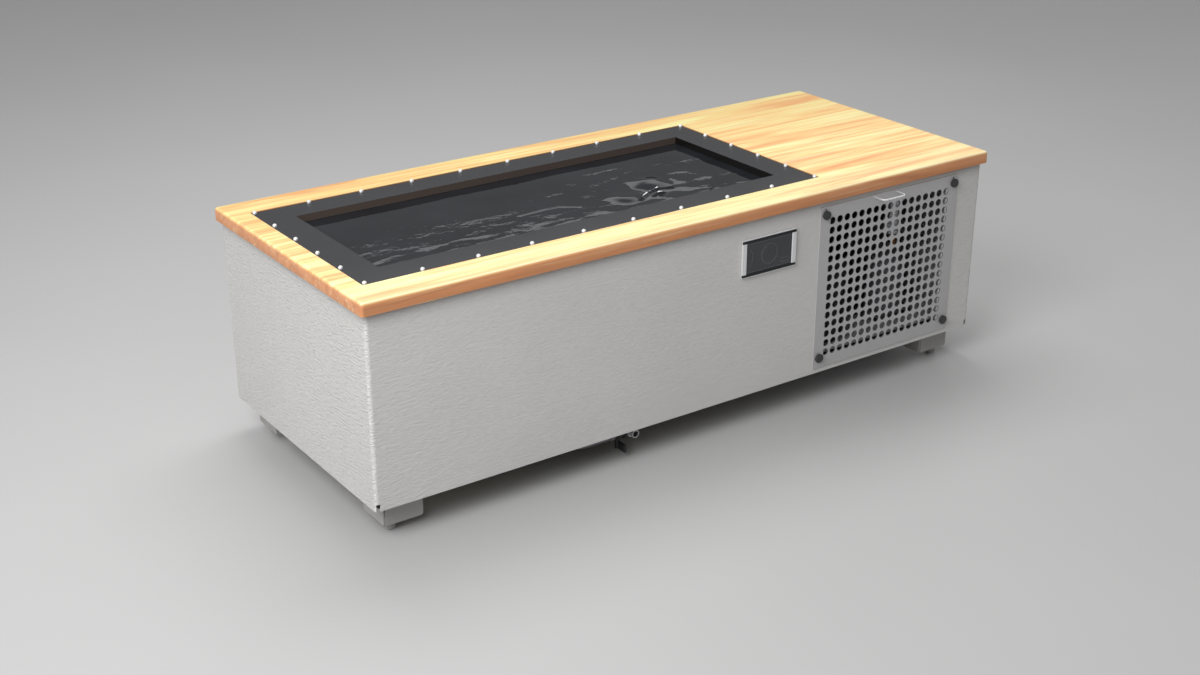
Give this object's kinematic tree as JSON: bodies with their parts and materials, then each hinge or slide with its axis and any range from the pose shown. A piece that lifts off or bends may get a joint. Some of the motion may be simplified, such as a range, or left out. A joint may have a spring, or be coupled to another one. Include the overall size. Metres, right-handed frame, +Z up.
{
  "type": "cold plunge tub",
  "caption": "Chilled one-person plunge tub: wood deck around a dark basin in a sheet casing, with a perforated machine-bay panel, touch controller, levelling feet and a drain valve.",
  "frame": {"origin": "centre of the bounding box on the floor under the feet", "axes": "+X along the tub to the machine bay, -Y to the front with the panel, +Z up"},
  "size_m": [2.34, 0.9872, 0.747],
  "materials": {
    "casing_paint": "leathery spray coat, satin",
    "deck_wood": "oiled, fine straight grain",
    "basin_grey": "smooth gloss",
    "bright_steel": "bright",
    "foam": "matt foam",
    "frame_grey": "satin",
    "sheet_zinc": "satin",
    "bracket_grey": "dull",
    "panel_grey": "satin",
    "knob_black": "fine grain",
    "rail_silver": "satin",
    "bar_black": "satin",
    "screen_glass": "gloss",
    "gasket_black": "matt",
    "machine_grey": "satin",
    "plastic_black": "fine grain",
    "hose_rubber": "matt",
    "copper": "dull copper",
    "motor_blue": "painted",
    "filter_white": "pleated",
    "uv_steel": "satin",
    "drain_grey": "satin",
    "outlet_pale": "satin"
  },
  "bodies": {
    "root": {"casing": "casing_paint", "wood_top": "deck_wood", "tub_basin": "basin_grey", "flange_screws": "bright_steel", "insulation_jacket": "foam", "base_insulation": "foam", "base_frame": "frame_grey", "frame_posts": "frame_grey", "bulkhead": "sheet_zinc", "bay_floor": "sheet_zinc", "leg_bracket_front_left": "bracket_grey", "leg_bracket_front_right": "bracket_grey", "leg_bracket_rear_left": "bracket_grey", "leg_bracket_rear_right": "bracket_grey", "jam_nuts": "bright_steel", "bracket_bolts": "bright_steel", "weld_nuts": "bright_steel", "controller_frame": "rail_silver", "controller_bars": "bar_black", "controller_screen": "screen_glass", "controller_gasket": "gasket_black", "controller_box": "plastic_black", "compressor": "machine_grey", "compressor_mounts": "gasket_black", "condenser_coil": "rail_silver", "fan_shroud": "plastic_black", "fan_motor": "machine_grey", "fan_guard": "plastic_black", "heat_exchanger": "plastic_black", "refrigerant_lines": "copper", "circulation_pump": "plastic_black", "pump_motor": "motor_blue", "filter_housing": "plastic_black", "filter_cartridge": "filter_white", "steriliser": "uv_steel", "hoses": "hose_rubber", "control_box": "machine_grey", "cable_gland": "plastic_black", "suction_grate": "plastic_black", "return_jet": "plastic_black", "drain_grate": "uv_steel", "drain_pipe": "drain_grey", "drain_valve": "plastic_black", "drain_outlet": "outlet_pale"},
    "panel": {"access_panel": "panel_grey", "panel_handle": "bright_steel"},
    "fan": {"fan": "plastic_black"},
    "filter_cap": {"filter_cap": "plastic_black"},
    "valve_lever": {"valve_lever": "plastic_black"},
    "knob_upper_left": {"knob_upper_left": "knob_black"},
    "knob_upper_right": {"knob_upper_right": "knob_black"},
    "knob_lower_left": {"knob_lower_left": "knob_black"},
    "knob_lower_right": {"knob_lower_right": "knob_black"},
    "foot_front_left": {"foot_front_left": "bracket_grey"},
    "foot_front_right": {"foot_front_right": "bracket_grey"},
    "foot_rear_left": {"foot_rear_left": "bracket_grey"},
    "foot_rear_right": {"foot_rear_right": "bracket_grey"}
  },
  "joints": [
    {"name": "panel_lift", "type": "slide", "parent": "root", "child": "panel", "axis": [0, -1, 0], "range_m": [0, 0.25]},
    {"name": "knob_upper_left_turn", "type": "hinge", "parent": "panel", "child": "knob_upper_left", "pos_m": [0.46, -0.44365, 0.654], "axis": [0, -1, 0], "continuous": true},
    {"name": "knob_upper_right_turn", "type": "hinge", "parent": "panel", "child": "knob_upper_right", "pos_m": [1.024, -0.44365, 0.654], "axis": [0, -1, 0], "continuous": true},
    {"name": "knob_lower_left_turn", "type": "hinge", "parent": "panel", "child": "knob_lower_left", "pos_m": [0.46, -0.44365, 0.165], "axis": [0, -1, 0], "continuous": true},
    {"name": "knob_lower_right_turn", "type": "hinge", "parent": "panel", "child": "knob_lower_right", "pos_m": [1.024, -0.44365, 0.165], "axis": [0, -1, 0], "continuous": true},
    {"name": "foot_front_left_turn", "type": "hinge", "parent": "root", "child": "foot_front_left", "pos_m": [-1.072, -0.35835, 0.05], "axis": [0, 0, 1], "continuous": true},
    {"name": "foot_front_right_turn", "type": "hinge", "parent": "root", "child": "foot_front_right", "pos_m": [1.072, -0.35835, 0.05], "axis": [0, 0, 1], "continuous": true},
    {"name": "foot_rear_left_turn", "type": "hinge", "parent": "root", "child": "foot_rear_left", "pos_m": [-1.072, 0.39765, 0.05], "axis": [0, 0, 1], "continuous": true},
    {"name": "foot_rear_right_turn", "type": "hinge", "parent": "root", "child": "foot_rear_right", "pos_m": [1.072, 0.39765, 0.05], "axis": [0, 0, 1], "continuous": true},
    {"name": "fan_spin", "type": "hinge", "parent": "root", "child": "fan", "pos_m": [0.8003, 0.43965, 0.365], "axis": [0, 1, 0], "continuous": true},
    {"name": "filter_cap_turn", "type": "hinge", "parent": "root", "child": "filter_cap", "pos_m": [0.5803, -0.32735, 0.44], "axis": [0, 0, 1], "continuous": true},
    {"name": "valve_turn", "type": "hinge", "parent": "root", "child": "valve_lever", "pos_m": [-0.2835, -0.36535, 0.037], "axis": [0, 0, 1], "range_deg": [0, 90]}
  ]
}
